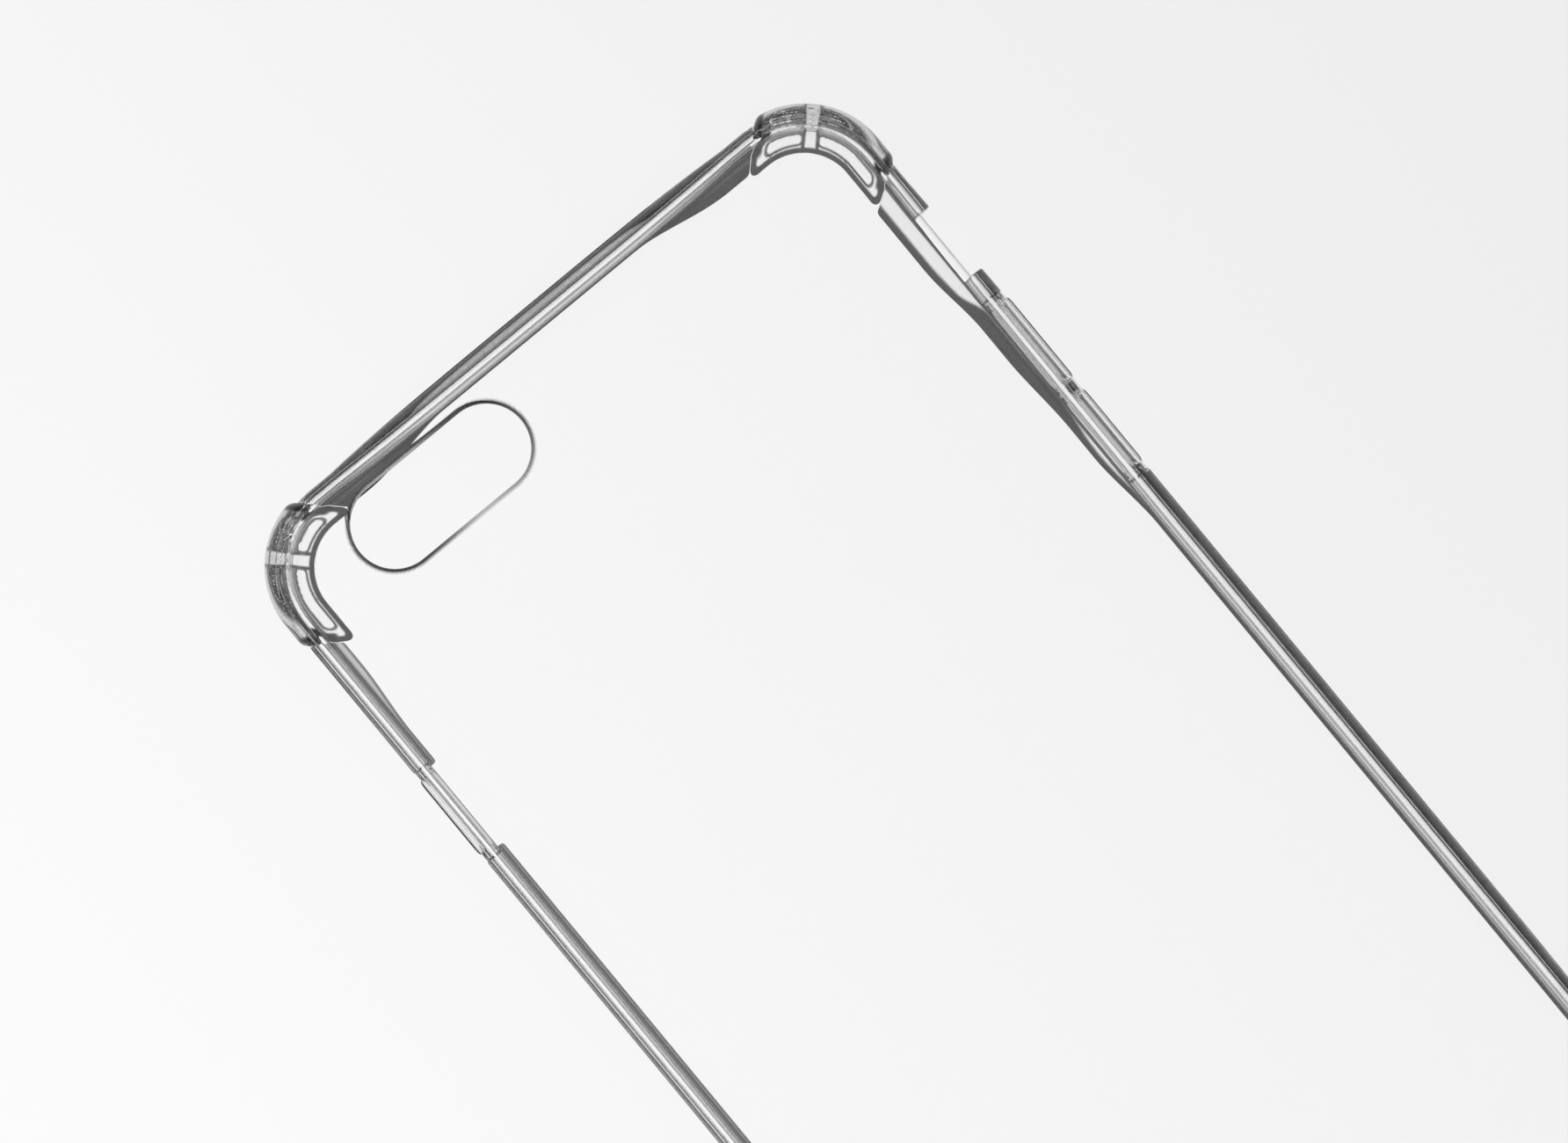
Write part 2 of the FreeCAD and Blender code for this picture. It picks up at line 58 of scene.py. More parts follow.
def rmax(a, b, r):
    """Intersection with a rounded edge of radius r."""
    return np.minimum(np.maximum(a, b), -r) + np.sqrt(np.maximum(a + r, 0) ** 2 + np.maximum(b + r, 0) ** 2)


def rmin(a, b, r):
    return -rmax(-a, -b, r)


def form(x, y, z, c, grow=0.0):
    d2 = rr(x, y, c["hx"] + grow, c["hy"] + grow, c["r"] + grow)
    top = rmax(d2, z - (c["z1"] + grow), c["rt"] + grow)
    low = rmax(d2, (c["z0"] - grow) - z, c["rb"] + grow)
    return np.maximum(top, low)


def stadium(u, v, long, tall):
    a = (long - tall) / 2
    return np.sqrt(np.maximum(np.abs(u) - a, 0) ** 2 + v ** 2) - tall / 2


def zone(x, y, grow=0.0):
    """Guard zone in every corner: negative inside."""
    ax, ay = np.abs(x), np.abs(y)
    a = 0.530 * (ax - 34.0) - 0.848 * (ay - 63.8)
    b = -0.706 * (ax - 24.1) + 0.7085 * (ay - 73.0)
    c = -0.681 * (ax - 24.1) - 0.7325 * (ay - 73.0)
    return np.maximum(np.maximum(a, b), c) - grow


def seam_side(x, y, z, gap=0.0):
    """Negative in the hard shell's part of the wall."""
    t2 = rr(x, y, 39.6, 79.75, 9.95)
    return np.minimum(SEAM + gap - z, np.maximum(TONGUE + gap - z, t2 + gap))


def step01(v):
    v = np.clip(v, 0, 1)
    return v * v * (3 - 2 * v)


def outer(x, y, z):
    """Outer form of shell and frame: the long side of the volume keys and the camera end bow out a little."""
    u = np.clip(np.abs(y) / 66.0, 0, 1)
    w = np.clip(np.abs(x) / 27.0, 0, 1)
    sx = 0.40 * step01((x - 22) / 14) * (1 - u ** 4)
    sy = 0.45 * step01((y - 55) / 18) * (1 - w ** 4)
    return form(x - sx, y - sy, z, OUT)


def shell_region(x, y, z):
    return np.maximum(outer(x, y, z), seam_side(x, y, z))


def camera_rim(x, y):
    return stadium(x + 18.6, y - 71.9, 22.1, 9.5)


# ---------------------------------------------------------------- shell
def shell_fn(x, y, z):
    d = rmax(outer(x, y, z), -form(x, y, z, CAV), 0.08)
    d = np.maximum(d, seam_side(x, y, z))
    d = rmax(d, -(camera_rim(x, y) + 0 * z), 0.55)
    # mute opening and its scoop
    mute = stadium(y - 57.5 + 0 * x, z - 5.1, 8.5, 6.2)
    mute = np.maximum(mute, 36.0 - x)
    scoop = np.maximum(np.abs(y - 57.5) - 4.25, 39.1 - x)
    d = rmax(d, -np.minimum(mute + 0 * x, scoop + 0 * z), 0.25)
    for mid, long in ((0.0, 13.6), (19.4, 17.5), (-19.4, 17.5)):
        port = np.maximum(stadium(x - mid, z - 5.1, long, 6.2), y + 76.5)
        d = rmax(d, -port, 0.25)
    return d


# ---------------------------------------------------------------- frame
def lip_shape(x, y, z):
    """Opening between the lips: the lip grows wider towards the guards."""
    right = 0.15 + 0.75 * step01((y - 20) / 10) + 0.5 * step01((y - 34) / 10) + 0.75 * step01((y - 48) / 9)
    right = right + 0.9 * step01((-y - 52) / 12)
    left = 0.1 + 0.5 * step01((np.abs(y) - 54) / 9)
    ends = 1.5 * step01((np.abs(x) - 13) / 12) - 0.1
    return rr(np.abs(x) + np.where(x > 0, right, left), np.abs(y) + ends * step01((np.abs(y) - 60) / 10), 38.1, 78.25, 8.4) + 0 * z


def frame_shade(x, y, z):
    """Painted shade for the dark core of the wall and the dark bead along the lip's inner edge, seen through the
    chin.
    """
    t = -rr(x, y, 40.35, 80.5, 10.7)
    right = np.interp(t, [0.50, 0.80, 1.30, 1.50, 1.75, 1.90], [0, 0.95, 0.95, 0.80, 0.70, 0])
    left = np.interp(t, [0.6, 0.95, 1.35, 1.55, 1.8, 2.0, 2.2], [0, 0.85, 0.95, 0.75, 0.50, 0.25, 0.2])
    top = np.interp(t, [0.2, 0.6, 0.95, 1.2, 1.45, 1.65, 2.0, 2.2, 2.4], [0.2, 0.88, 0.88, 0.70, 0.65, 0.95, 0.97, 0.7, 0.7])
    core = np.where(np.abs(y) > 70, top, np.where(x > 0, right, left)) * (z < 3.25)
    d = lip_shape(x, y, z)
    wide = 0.30 + 0.35 * (x > 30) + 1.0 * (x > 30) * step01((y - 30) / 10) * (1 - step01((y - 49) / 4)) + 0.15 * (x > 30) * step01((y - 50) / 5)
    wide = np.where(y > 70, 0.75 + 0.5 * step01((np.abs(x) - 14) / 8), wide)
    s = 1 - step01((d - wide + 0.2) / 0.4)
    s = s * np.where(x < -30, 0.80, 0.96) * (z < 2.9)
    return np.maximum(s, core)


def key_hole(x, y, z, side, mid, long):
    sx = side * x
    w = rr(y - mid, z - 4.85, long / 2 + 0.12, 1.67, 1.22)
    window = np.maximum(w + 0 * sx, 37.6 - sx)
    b = rr(y - mid, z - 4.85, long / 2 + 0.42, 1.97, 1.52)
    rebate = np.maximum(np.maximum(b + 0 * sx, 37.6 - sx), sx - 39.5)
    return np.minimum(window, rebate)


KEYS = (("volume_up_key", "volume_up", 1, 43.6, 11.2), ("volume_down_key", "volume_down", 1, 31.45, 10.1),
        ("power_key", "power", -1, 44.05, 10.3))


def frame_fn(x, y, z):
    cav = form(x, y, z, CAV)
    out = outer(x, y, z)
    d = rmax(out, -lip_shape(x, y, z), 0.5)
    d = rmax(d, -zone(x, y, 0.03) + 0 * z, 0.25)
    # inner wall that runs on inside the guards
    band = np.maximum(rr(x, y, 39.6, 79.75, 9.95) + 0 * z, 2.6 - z)
    d = np.minimum(d, band)
    d = rmax(d, -cav, 0.12)
    d = np.maximum(d, -seam_side(x, y, z))
    # thinned wall beside the keys
    moat_r = np.maximum(np.abs(y - 37.8) - 12.3, 39.8 - x)
    moat_l = np.maximum(np.abs(y - 44.05) - 6.05, 39.8 + x)
    d = rmax(d, -(np.minimum(moat_r, moat_l) + 0 * z), 0.22)
    # gap in the lip below the power key
    gap_l = np.maximum(np.maximum(np.abs(y - 44.14) - 5.58, -x - 39.15), np.maximum(z - 2.6, 33.0 + x))
    d = rmax(d, -gap_l, 0.35)
    for _, _, side, mid, long in KEYS:
        d = rmax(d, -key_hole(x, y, z, side, mid, long), 0.1)
    mute = np.maximum(stadium(y - 57.5 + 0 * x, z - 5.1, 8.5, 6.2), 36.0 - x)
    scoop = np.maximum(np.abs(y - 57.5) - 4.25, 39.1 - x) + 0 * z
    d = rmax(d, -np.minimum(mute, scoop), 0.25)
    for mid, long in ((0.0, 13.6), (19.4, 17.5), (-19.4, 17.5)):
        port = np.maximum(stadium(x - mid, z - 5.1, long, 6.2), y + 76.5)
        d = rmax(d, -port, 0.25)
    return d


# ---------------------------------------------------------------- guard (first quadrant)
def guard_lip(x, y):
    """Inner edge of the guard's lip."""
    return rr(x, y, 36.2, 76.35, 6.0)


def guard_groove(x, y):
    rib = 0.85 - np.abs((x - 30.8) - (y - 70.95)) * 0.70711
    gin = rr(x, y, 37.0, 77.15, 6.6)
    gout = rr(x, y, 38.25, 78.4, 7.75)
    g = rmax(rmax(gout, -gin, 0.5), rib, 0.5)
    return rmax(g, zone(x, y, -1.5), 0.6)


def guard_shade(x, y, z):
    """Painted shade where the guard's slanted ends, slot and lip edge turn away, along the rib lines and as a dark
    band in the foot.
    """
    lip = guard_lip(x, y)
    ends = 0.97 * step01((zone(x, y) + 1.15) / 0.35) * step01((lip - 1.2) / 0.6)
    plan = rmax(zone(x, y, -0.03), -lip, 1.0)
    inner = 0.92 * (1 - step01((np.abs(plan + 0.3) - 0.2) / 0.18)) * (z < 2.6)
    g = guard_groove(x, y)
    slot = 0.9 * (1 - step01((np.abs(g) - 0.07) / 0.16)) * (z > 0.7) * (z < 3)
    across = np.abs((x - 30.8) - (y - 70.95)) * 0.70711
    ribs = 0.9 * (1 - step01((np.abs(across - 0.78) - 0.08) / 0.2)) * (z < 3.4)
    t = -rr(x, y, 40.9, 81.05, 10.1)
    core = np.interp(t, [0.55, 0.9, 1.25, 1.7, 2.3, 2.6], [0, 0.90, 0.90, 0.60, 0.25, 0]) * step01((across - 0.6) / 0.2) * (z < 3.4)
    return np.maximum(np.maximum(np.maximum(ends, inner), np.maximum(slot, ribs)), core)


def guard_fn(x, y, z):
    g = form(x, y, z, GRD)
    plan = rmax(zone(x, y, -0.03), -guard_lip(x, y), 1.0)
    d = rmax(g, plan + 0 * z, 0.55)
    d = rmax(d, -form(x, y, z, CAV), 0.15)
    edge = np.maximum(rr(x, y, 38.25, 78.4, 7.45) + 0 * z, 7.7 - z)
    d = rmax(d, -edge, 0.1)
    d = np.maximum(d, -shell_region(x, y, z))
    band = np.maximum(rr(x, y, 39.6, 79.75, 9.95) + 0 * z, 2.6 - z)
    d = np.maximum(d, -band)
    # air cells
    rib = 0.85 - np.abs((x - 30.8) - (y - 70.95)) * 0.70711
    cell = rmax(rr(x, y, 40.05, 80.2, 9.25) + 0 * z, np.abs(z - 4.9) - 1.3, 1.0)
    cell = rmax(cell, rib + 0 * z, 0.2)
    cell = rmax(cell, zone(x, y, -1.3) + 0 * z, 0.3)
    d = rmax(d, -cell, 0.15)
    # groove in the lip
    groove = guard_groove(x, y) + 0 * z
    groove = np.maximum(groove, np.maximum(1.0 - z, z - 4.4))
    d = rmax(d, -groove, 0.15)
    return d


# ---------------------------------------------------------------- key (right side)
def key_fn(mid, long, face):
    def fn(x, y, z):
        cap = rr(y - mid, z - 4.85, long / 2, 1.55, 1.1) + 0 * x
        cap = rmax(cap, x - face, 0.4)
        cap = np.maximum(cap, 39.12 - x)
        fl = rr(y - mid, z - 4.85, long / 2 + 0.3, 1.85, 1.4) + 0 * x
        fl = rmax(fl, np.abs(x - 39.27) - 0.15, 0.06)
        return rmin(cap, fl, 0.1)
    return fn


# =====================================================================
# Surface nets on a graded grid, with the points moved onto the surface
# =====================================================================
def axis(*spans):
    pts = []
    for a, b, step in spans:
        n = max(1, int(round((b - a) / step)))
        pts += [a + (b - a) * i / n for i in range(n)]
    pts.append(spans[-1][1])
    return np.array(pts, dtype=np.float64)


def field(fn, xs, ys, zs):
    out = np.empty((len(xs), len(ys), len(zs)), dtype=F32)
    step = max(1, int(3e6 // (len(ys) * len(zs))))
    for i in range(0, len(xs), step):
        out[i:i + step] = fn(xs[i:i + step, None, None], ys[None, :, None], zs[None, None, :])
    return out


def gradient(fn, p, e=0.004):
    g = np.empty_like(p)
    for k in range(3):
        a, b = p.copy(), p.copy()
        a[:, k] += e
        b[:, k] -= e
        g[:, k] = (fn(a[:, 0], a[:, 1], a[:, 2]) - fn(b[:, 0], b[:, 1], b[:, 2])) / (2 * e)
    return g


def nets(fn, xs, ys, zs, rounds=4):
    V = field(fn, xs, ys, zs)
    inside = V < 0
    a = inside[:-1, :-1, :-1].astype(np.int8)
    count = np.zeros_like(a)
    for dx in (0, 1):
        for dy in (0, 1):
            for dz in (0, 1):
                count += inside[dx:inside.shape[0] - 1 + dx, dy:inside.shape[1] - 1 + dy, dz:inside.shape[2] - 1 + dz]
    active = (count > 0) & (count < 8)
    ci, cj, ck = np.nonzero(active)
    index = -np.ones(active.shape, dtype=np.int64)
    index[ci, cj, ck] = np.arange(len(ci))
    P = np.zeros((len(ci), 3))
    N = np.zeros(len(ci))
    coords = (xs, ys, zs)
    corners = [(dx, dy, dz) for dx in (0, 1) for dy in (0, 1) for dz in (0, 1)]
    for c in corners:
        for k in range(3):
            if c[k] == 1:
                continue
            e = list(c)
            e[k] = 1
            i0 = (ci + c[0], cj + c[1], ck + c[2])
            i1 = (ci + e[0], cj + e[1], ck + e[2])
            v0, v1 = V[i0].astype(np.float64), V[i1].astype(np.float64)
            cross = (v0 < 0) != (v1 < 0)
            t = np.where(cross, v0 / np.where(cross, v0 - v1, 1), 0)
            for q in range(3):
                p0, p1 = coords[q][i0[q]], coords[q][i1[q]]
                P[:, q] += np.where(cross, p0 + (p1 - p0) * t, 0)
            N += cross
    P /= N[:, None]
    lo = np.stack([xs[ci], ys[cj], zs[ck]], 1)
    hi = np.stack([xs[ci + 1], ys[cj + 1], zs[ck + 1]], 1)
    # quads round every grid edge that crosses the surface
    quads = []
    for k in range(3):
        sl0 = [slice(None)] * 3
        sl1 = [slice(None)] * 3
        sl0[k] = slice(0, -1)
        sl1[k] = slice(1, None)
        s0, s1 = inside[tuple(sl0)], inside[tuple(sl1)]
        m = s0 != s1
        o1, o2 = [(1, 2), (2, 0), (0, 1)][k]
        sub = [slice(None)] * 3
        sub[o1] = slice(1, -1)
        sub[o2] = slice(1, -1)
        mm = np.zeros_like(m)
        mm[tuple(sub)] = m[tuple(sub)]
        idx = np.nonzero(mm)
        flip = s0[idx]

        def cell(d1, d2):
            q = [idx[0].copy(), idx[1].copy(), idx[2].copy()]
            q[o1] = q[o1] - d1
            q[o2] = q[o2] - d2
            return index[q[0], q[1], q[2]]
        A, B, C, D = cell(1, 1), cell(0, 1), cell(0, 0), cell(1, 0)
        q = np.stack([A, B, C, D], 1)
        q = np.where(flip[:, None], q, q[:, ::-1])
        quads.append(q)
    Q = np.concatenate(quads)
    span = hi - lo
    for _ in range(rounds):
        v = fn(P[:, 0], P[:, 1], P[:, 2])
        g = gradient(fn, P)
        s = np.maximum((g ** 2).sum(1), 0.2)
        P = P - (v / s)[:, None] * g
        P = np.clip(P, lo - 0.25 * span, hi + 0.25 * span)
    G = gradient(fn, P, 0.006)
    G /= np.maximum(np.linalg.norm(G, axis=1), 1e-9)[:, None]
    return P, Q, G


def make_object(name, P, Q, G, material, bond=None, shade=None, mirror=(1, 1)):
    P = P.copy()
    G = G.copy()
    P[:, 0] *= mirror[0]
    P[:, 1] *= mirror[1]
    G[:, 0] *= mirror[0]
    G[:, 1] *= mirror[1]
    if mirror[0] * mirror[1] < 0:
        Q = Q[:, ::-1]
    me = bpy.data.meshes.new(name)
    me.vertices.add(len(P))
    me.vertices.foreach_set("co", (P * MM).astype(np.float32).ravel())
    me.loops.add(len(Q) * 4)
    me.loops.foreach_set("vertex_index", np.ascontiguousarray(Q, dtype=np.int32).ravel())
    me.polygons.add(len(Q))
    me.polygons.foreach_set("loop_start", np.arange(0, len(Q) * 4, 4, dtype=np.int32))
    me.polygons.foreach_set("loop_total", np.full(len(Q), 4, dtype=np.int32))
    me.polygons.foreach_set("use_smooth", np.ones(len(Q), dtype=bool))
    me.update(calc_edges=True)
    me.validate()
    me.materials.append(material)
    at = me.attributes.new("bond", "FLOAT", "FACE")
    if bond is not None:
        at.data.foreach_set("value", bond.astype(np.float32))
    # shade: painted shade per point, mapped so that values near 1 darken strongly
    at = me.attributes.new("shade", "FLOAT", "POINT")
    if shade is not None:
        dark = np.clip(np.broadcast_to(shade, (len(P),)), 0, 1)
        at.data.foreach_set("value", (1 - (1 - dark) ** 2).astype(np.float32))
    me.normals_split_custom_set_from_vertices([tuple(n) for n in G])
    ob = bpy.data.objects.new(name, me)
    bpy.context.scene.collection.objects.link(ob)
    return ob


# =====================================================================
# Materials
# =====================================================================
def clear_material(name, ior, tint, edge, rough, density, lo=0.05, hi=0.30):
    """Clear moulded plastic: refracts, mirrors, takes light off with depth, and has painted shade where it is seen
    edge-on, where a Fresnel ramp pulls the colour towards a near-black colour.

    The attribute bond is 1 on faces moulded onto the neighbouring piece, where no surface shows, and the
    attribute shade is painted shade: darkness painted into the colour on rounded edges, walls and lines where the
    clear plastic looks dark."""
    m = bpy.data.materials.new(name)
    m.use_nodes = True
    nt = m.node_tree
    p = nt.nodes["Principled BSDF"]
    out = nt.nodes["Material Output"]
    p.inputs["Transmission Weight"].default_value = 1.0
    p.inputs["IOR"].default_value = ior
    p.inputs["Roughness"].default_value = rough
    fr = nt.nodes.new("ShaderNodeFresnel")
    fr.inputs["IOR"].default_value = ior
    # painted shade: this Fresnel ramp mixes the colour towards the near-black shade colour where the surface is seen
    # edge-on
    ramp = nt.nodes.new("ShaderNodeMapRange")
    ramp.inputs["From Min"].default_value = lo
    ramp.inputs["From Max"].default_value = hi
    # painted shade from the shade attribute, mixed into the colour
    shade = nt.nodes.new("ShaderNodeAttribute")
    shade.attribute_name = "shade"
    top = nt.nodes.new("ShaderNodeMath")
    top.operation = "MAXIMUM"
    mixc = nt.nodes.new("ShaderNodeMix")
    mixc.data_type = "RGBA"
    nt.links.new(fr.outputs[0], ramp.inputs["Value"])
    nt.links.new(ramp.outputs["Result"], top.inputs[0])
    nt.links.new(shade.outputs["Fac"], top.inputs[1])
    nt.links.new(top.outputs[0], mixc.inputs["Factor"])
    mixc.inputs["A"].default_value = (*tint, 1)
    mixc.inputs["B"].default_value = (*edge, 1)
    nt.links.new(mixc.outputs["Result"], p.inputs["Base Color"])
    lp = nt.nodes.new("ShaderNodeLightPath")
    bond = nt.nodes.new("ShaderNodeAttribute")
    bond.attribute_name = "bond"
    either = nt.nodes.new("ShaderNodeMath")
    either.operation = "MAXIMUM"
    nt.links.new(lp.outputs["Is Shadow Ray"], either.inputs[0])
    nt.links.new(bond.outputs["Fac"], either.inputs[1])
    tr = nt.nodes.new("ShaderNodeBsdfTransparent")
    mix = nt.nodes.new("ShaderNodeMixShader")
    nt.links.new(either.outputs[0], mix.inputs[0])
    nt.links.new(p.outputs[0], mix.inputs[1])
    nt.links.new(tr.outputs[0], mix.inputs[2])
    nt.links.new(mix.outputs[0], out.inputs["Surface"])
    if density:
        v = nt.nodes.new("ShaderNodeVolumeAbsorption")
        v.inputs["Color"].default_value = (0.0, 0.0, 0.0, 1)
        v.inputs["Density"].default_value = density
        nt.links.new(v.outputs[0], out.inputs["Volume"])
    return m


# near-black colour of the painted shade, mixed in edge-on and by the shade attribute
PAINTED_SHADE_COLOUR = (0.001, 0.001, 0.001)
HARD = clear_material("clear_hard_plastic", 1.52, (0.995, 0.998, 0.998), PAINTED_SHADE_COLOUR, 0.0, 0.0, 0.08, 0.90)
SOFT = clear_material("clear_soft_plastic", 1.50, (0.99, 0.99, 0.99), PAINTED_SHADE_COLOUR, 0.0, 70.0, 0.06, 0.60)
GUARD = clear_material("clear_soft_guard_plastic", 1.50, (0.99, 0.99, 0.99), PAINTED_SHADE_COLOUR, 0.0, 40.0, 0.06, 0.60)
KEY = clear_material("clear_soft_key_plastic", 1.50, (0.99, 0.99, 0.99), PAINTED_SHADE_COLOUR, 0.0, 30.0, 0.06, 0.60)

# =====================================================================
# Pieces
# =====================================================================
import time
T0 = time.time()


def face_centres(P, Q):
    return P[Q].mean(1)


# --- frame: graded grid
xs = axis((-40.75, -38.7, 0.115), (-38.7, -36.0, 0.18), (-36.0, -28.4, 0.3), (-28.4, -24.0, 0.3), (-24.0, -15.0, 1.8), (-15.0, -5.0, 0.35),
          (-5.0, 5.0, 1.0), (5.0, 15.0, 0.35), (15.0, 24.0, 1.8), (24.0, 28.4, 0.3), (28.4, 34.4, 0.3), (34.4, 38.6, 0.18), (38.6, 41.1, 0.115))
ys = axis((-80.9, -78.8, 0.115), (-78.8, -75.5, 0.18), (-75.5, -64.0, 0.32), (-64.0, 20.0, 2.0), (20.0, 63.5, 0.26), (63.5, 74.0, 0.32),
          (74.0, 78.8, 0.18), (78.8, 81.3, 0.115))
zs = axis((0.1, 2.92, 0.141), (2.92, 6.95, 0.21), (6.95, 7.85, 0.1))
P, Q, G = nets(frame_fn, xs, ys, zs)
c = face_centres(P, Q)
s = seam_side(c[:, 0], c[:, 1], c[:, 2])
inner = np.abs(np.maximum(rr(c[:, 0], c[:, 1], 39.6, 79.75, 9.95), 2.6 - c[:, 2])) < 0.02
inner = inner & (zone(c[:, 0], c[:, 1]) < -0.05)
frame_ob = make_object("bumper_frame", P, Q, G, SOFT, (np.abs(s) < 0.02) | inner, frame_shade(P[:, 0], P[:, 1], P[:, 2]))
print("frame", len(P), len(Q), time.time() - T0)

# --- shell
xs = axis((-40.2, -37.4, 0.12), (-37.4, -35.0, 0.3), (-35.0, -30.6, 1.1), (-30.6, -23.4, 0.2), (-23.4, -13.6, 0.5), (-13.6, -6.6, 0.2),
          (-6.6, 6.8, 0.7), (6.8, 10.6, 0.6), (10.6, 35.0, 0.7), (35.0, 37.4, 0.3), (37.4, 40.64, 0.12))
ys = axis((-80.2, -77.4, 0.12), (-77.4, -75.0, 0.3), (-75.0, -69.0, 1.0), (-69.0, 51.0, 3.0), (51.0, 53.0, 0.3), (53.0, 62.2, 0.2), (62.2, 66.4, 0.6),
          (66.4, 77.4, 0.2), (77.4, 80.76, 0.12))
zs = axis((6.85, 7.85, 0.1), (7.85, 10.15, 0.115))
P, Q, G = nets(shell_fn, xs, ys, zs)
c = face_centres(P, Q)
s = seam_side(c[:, 0], c[:, 1], c[:, 2])
under = (np.abs(outer(c[:, 0], c[:, 1], c[:, 2])) < 0.02) & (form(c[:, 0], c[:, 1], c[:, 2], GRD) < -0.03) & \
    (zone(c[:, 0], c[:, 1]) < -0.06) & (rr(c[:, 0], c[:, 1], 38.25, 78.4, 7.45) > 0.05) & (c[:, 2] > 7.6)
# painted shade: a dark ring round the camera opening, heavier on two opposite arcs, and a grey band on the cavity's
# inner wall, stronger towards the top end
rim = camera_rim(P[:, 0], P[:, 1])
turn = np.arctan2(P[:, 1] - 71.9, P[:, 0] + 18.6)
shade = 0.95 * (1 - step01((rim - 0.30) / 0.3)) * (0.70 + 0.30 * np.cos(2 * (turn - 0.4)))
wall = (np.abs(form(P[:, 0], P[:, 1], P[:, 2], CAV)) < 0.06) * step01((rr(P[:, 0], P[:, 1], 39.1, 79.25, 9.45) + 0.5) / 0.2)
top_side = step01((P[:, 1] - 60) / 12)
shade = np.maximum(shade, (0.45 + 0.2 * top_side) * wall)
shell_ob = make_object("back_shell", P, Q, G, HARD, (np.abs(s) < 0.02) | under, shade)
print("shell", len(P), len(Q), time.time() - T0)

# --- guards
g_axis = lambda a, b: axis((a, b, 0.13))
P, Q, G = nets(guard_fn, g_axis(26.9, 41.3), g_axis(64.6, 81.5), axis((-0.25, 6.95, 0.13), (6.95, 7.65, 0.1), (7.65, 10.2, 0.13)))
c = face_centres(P, Q)
s = shell_region(c[:, 0], c[:, 1], c[:, 2])
inner = np.abs(np.maximum(rr(c[:, 0], c[:, 1], 39.6, 79.75, 9.95), 2.6 - c[:, 2])) < 0.02
cell = np.abs(rmax(rr(c[:, 0], c[:, 1], 40.05, 80.2, 9.25), np.abs(c[:, 2] - 4.9) - 1.3, 1.0)) < 0.09
shade = guard_shade(P[:, 0], P[:, 1], P[:, 2])
guards = {}
for nm, mx, my in (("top_right", 1, 1), ("top_left", -1, 1), ("bottom_right", 1, -1), ("bottom_left", -1, -1)):
    guards[nm] = make_object("corner_guard_" + nm, P, Q, G, GUARD, (np.abs(s) < 0.02) | inner | cell, shade, (mx, my))
print("guard", len(P), len(Q), time.time() - T0)

# --- keys
key_obs = {}
for node, body, side, mid, long in KEYS:
    face = 40.9 if side > 0 else 40.6
    P, Q, G = nets(key_fn(mid, long, face), axis((38.9, 41.1, 0.1)), axis((mid - long / 2 - 0.6, mid - long / 2 + 1.9, 0.14), (mid - long / 2 + 1.9, mid + long / 2 - 1.9, 0.5),
                   (mid + long / 2 - 1.9, mid + long / 2 + 0.6, 0.14)), axis((2.7, 7.0, 0.13)))
    # painted shade: a dark band on the key cap's lower faces
    shade = 0.93 * (1 - step01((P[:, 0] - 39.95) / 0.2)) * step01((P[:, 0] - 39.3) / 0.15) * (P[:, 2] < 3.6)
    key_obs[node] = make_object(node + "_cap", P, Q, G, KEY, None, shade, (side, 1))
print("keys", time.time() - T0)

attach(frame_ob, "case"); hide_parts("bumper_frame")
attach(shell_ob, "case"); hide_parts("back_shell")
for nm, ob in guards.items():
    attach(ob, "case"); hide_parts("corner_guard_" + nm)
for node, body, side, mid, long in KEYS:
    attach(key_obs[node], body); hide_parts(node)

# =====================================================================
# Floor, light, camera
# =====================================================================
scene = bpy.context.scene
FLOOR_Z = 0.0
me = bpy.data.meshes.new("floor")
R = 3.0
me.from_pydata([(-R, -R, FLOOR_Z), (R, -R, FLOOR_Z), (R, R, FLOOR_Z), (-R, R, FLOOR_Z)], [], [(0, 1, 2, 3)])
floor = bpy.data.objects.new("floor", me)
scene.collection.objects.link(floor)
fm = bpy.data.materials.new("floor_white")
fm.use_nodes = True
fp = fm.node_tree.nodes["Principled BSDF"]
tc = fm.node_tree.nodes.new("ShaderNodeTexCoord")
sep = fm.node_tree.nodes.new("ShaderNodeSeparateXYZ")
# painted light falloff: the floor's colour darkens towards +X
painted_light_falloff = fm.node_tree.nodes.new("ShaderNodeMapRange")
painted_light_falloff.interpolation_type = "SMOOTHSTEP"
painted_light_falloff.inputs["From Min"].default_value = -0.16
painted_light_falloff.inputs["From Max"].default_value = 0.12
painted_light_falloff.inputs["To Min"].default_value = 0.88
painted_light_falloff.inputs["To Max"].default_value = 0.765
fm.node_tree.links.new(tc.outputs["Object"], sep.inputs[0])
fm.node_tree.links.new(sep.outputs["X"], painted_light_falloff.inputs["Value"])
fm.node_tree.links.new(painted_light_falloff.outputs["Result"], fp.inputs["Base Color"])
fp.inputs["Roughness"].default_value = 0.9
fp.inputs["Specular IOR Level"].default_value = 0.0
me.materials.append(fm)

world = bpy.data.worlds.new("studio")
scene.world = world
world.use_nodes = True
bg = world.node_tree.nodes["Background"]
bg.inputs["Color"].default_value = (0.45, 0.45, 0.45, 1)
bg.inputs["Strength"].default_value = 1.0
world.cycles_visibility.diffuse = False  # pale surroundings, seen only in and through the plastic


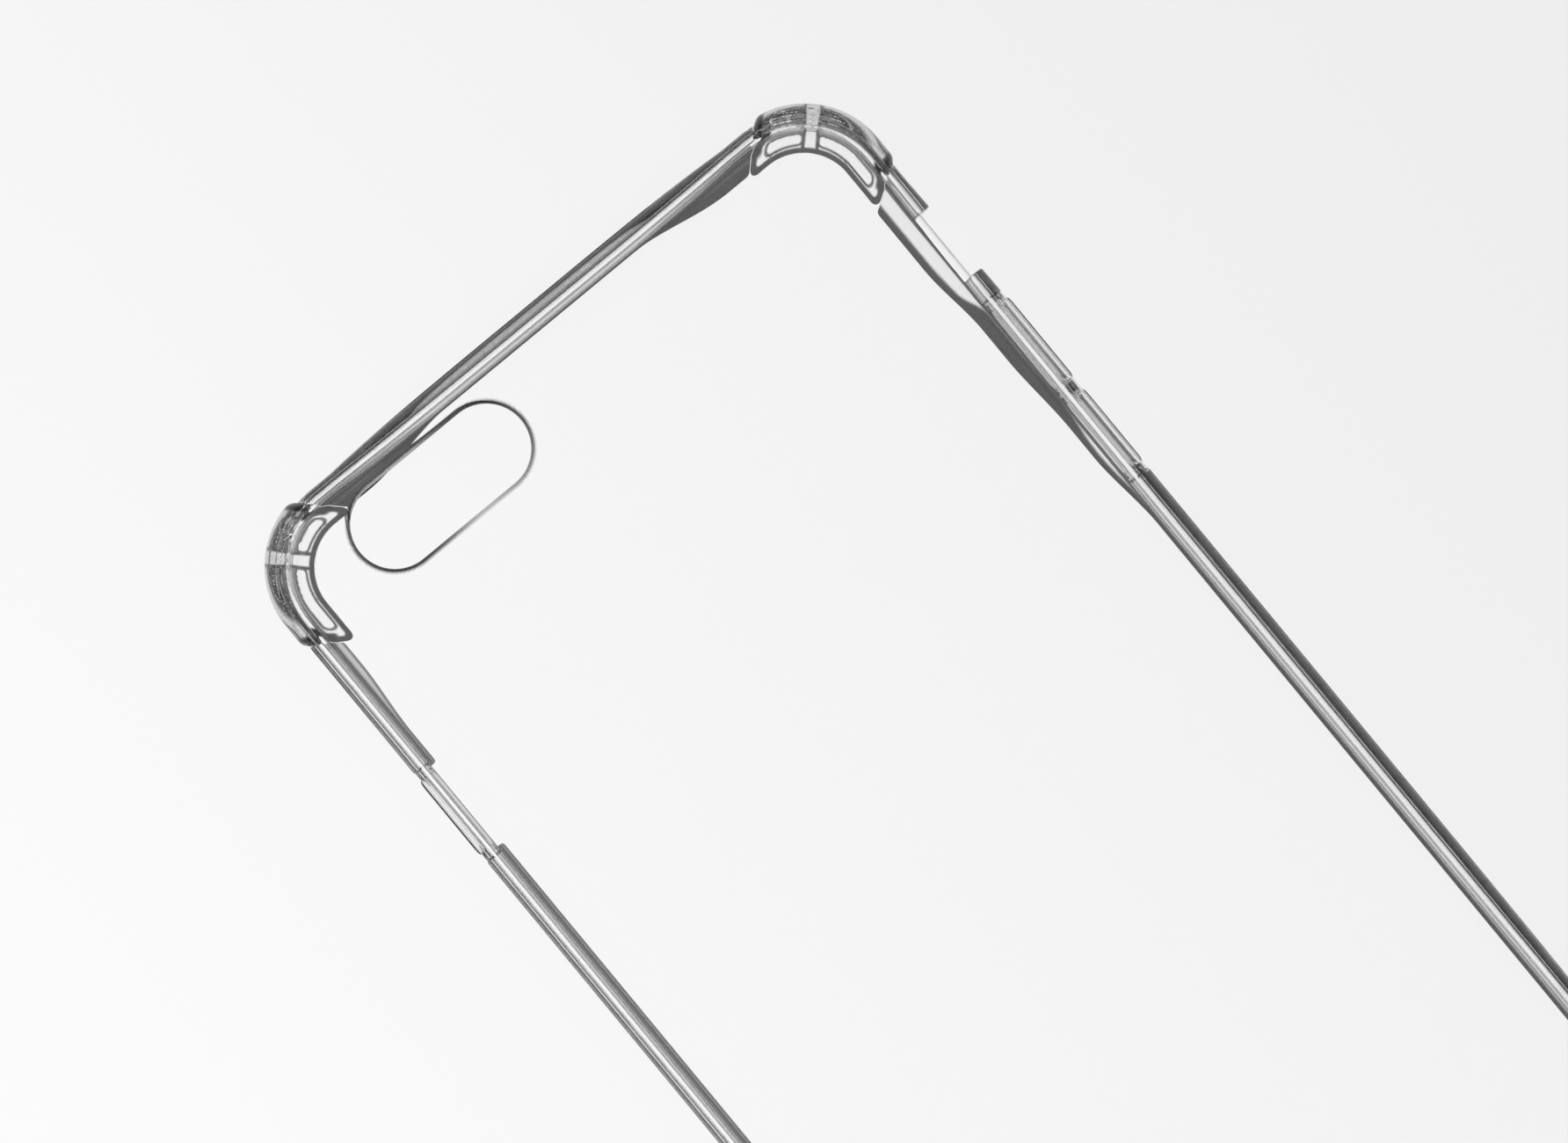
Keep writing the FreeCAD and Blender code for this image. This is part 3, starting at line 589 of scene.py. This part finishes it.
def area(name, loc, target, sx, sy, power, hidden=True):
    l = bpy.data.lights.new(name, "AREA")
    l.shape = "RECTANGLE"
    l.size, l.size_y = sx, sy
    l.energy = power
    o = bpy.data.objects.new(name, l)
    scene.collection.objects.link(o)
    o.location = loc
    d = Vector(target) - Vector(loc)
    o.rotation_euler = d.to_track_quat("-Z", "Y").to_euler()
    o.visible_camera = False
    return o


# a large pale card overhead, seen only in the plastic's gloss
soft = area("overhead_softbox", (0, 0, 1.6), (0, 0, 0), 2.4, 2.4, 8.5)
soft.visible_diffuse = False
# lamps for the floor, not mirrored in the plastic
open_only = bpy.data.collections.new("shadow_from_floor_only")
scene.collection.children.link(open_only)
open_only.objects.link(floor)
for nm, share, only in (("floor_fill_open", 0.85, True), ("floor_fill_shadow", 0.15, False)):
    fill = area(nm, (0, 0, 2.2), (0, 0, 0), 3.0, 3.0, 86 * share)
    fill.data.cycles.use_multiple_importance_sampling = False
    fill.visible_glossy = False
    fill.visible_transmission = False
    if only:
        fill.light_linking.blocker_collection = open_only

cam_d = bpy.data.cameras.new("camera")
cam = bpy.data.objects.new("camera", cam_d)
scene.collection.objects.link(cam)
scene.camera = cam
D = 0.700
cam_d.sensor_width = 36.0
cam_d.sensor_fit = "HORIZONTAL"
cam_d.lens = 36.0 * (10.72 * 1000 * D) / 1784
cam.location = (0.00375, 0.0417, 0.0099 + D)
# image right is the case's direction whose photo axes are u=(0.771,-0.637), v=(0.637,0.771)
# camera X in case coordinates: image right = 0.771*(+X) + 0.637*(-Y); image up = 0.637*(+X) + 0.771*(+Y)
ax = Vector((0.771, -0.637, 0)).normalized()
ay = Vector((0.637, 0.771, 0)).normalized()
az = ax.cross(ay)
cam.matrix_world = Matrix.Translation(cam.location) @ Matrix((ax, ay, az)).transposed().to_4x4()
cam_d.clip_end = 50
cam_d.clip_start = 0.01

scene.view_settings.view_transform = "Standard"
scene.view_settings.look = "None"
scene.view_settings.exposure = 0
scene.cycles.use_denoising = True
scene.cycles.caustics_reflective = False
scene.cycles.caustics_refractive = False
scene.cycles.max_bounces = 24
scene.cycles.transmission_bounces = 20
scene.cycles.glossy_bounces = 12
scene.cycles.transparent_max_bounces = 24

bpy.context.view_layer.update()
print("total", time.time() - T0)
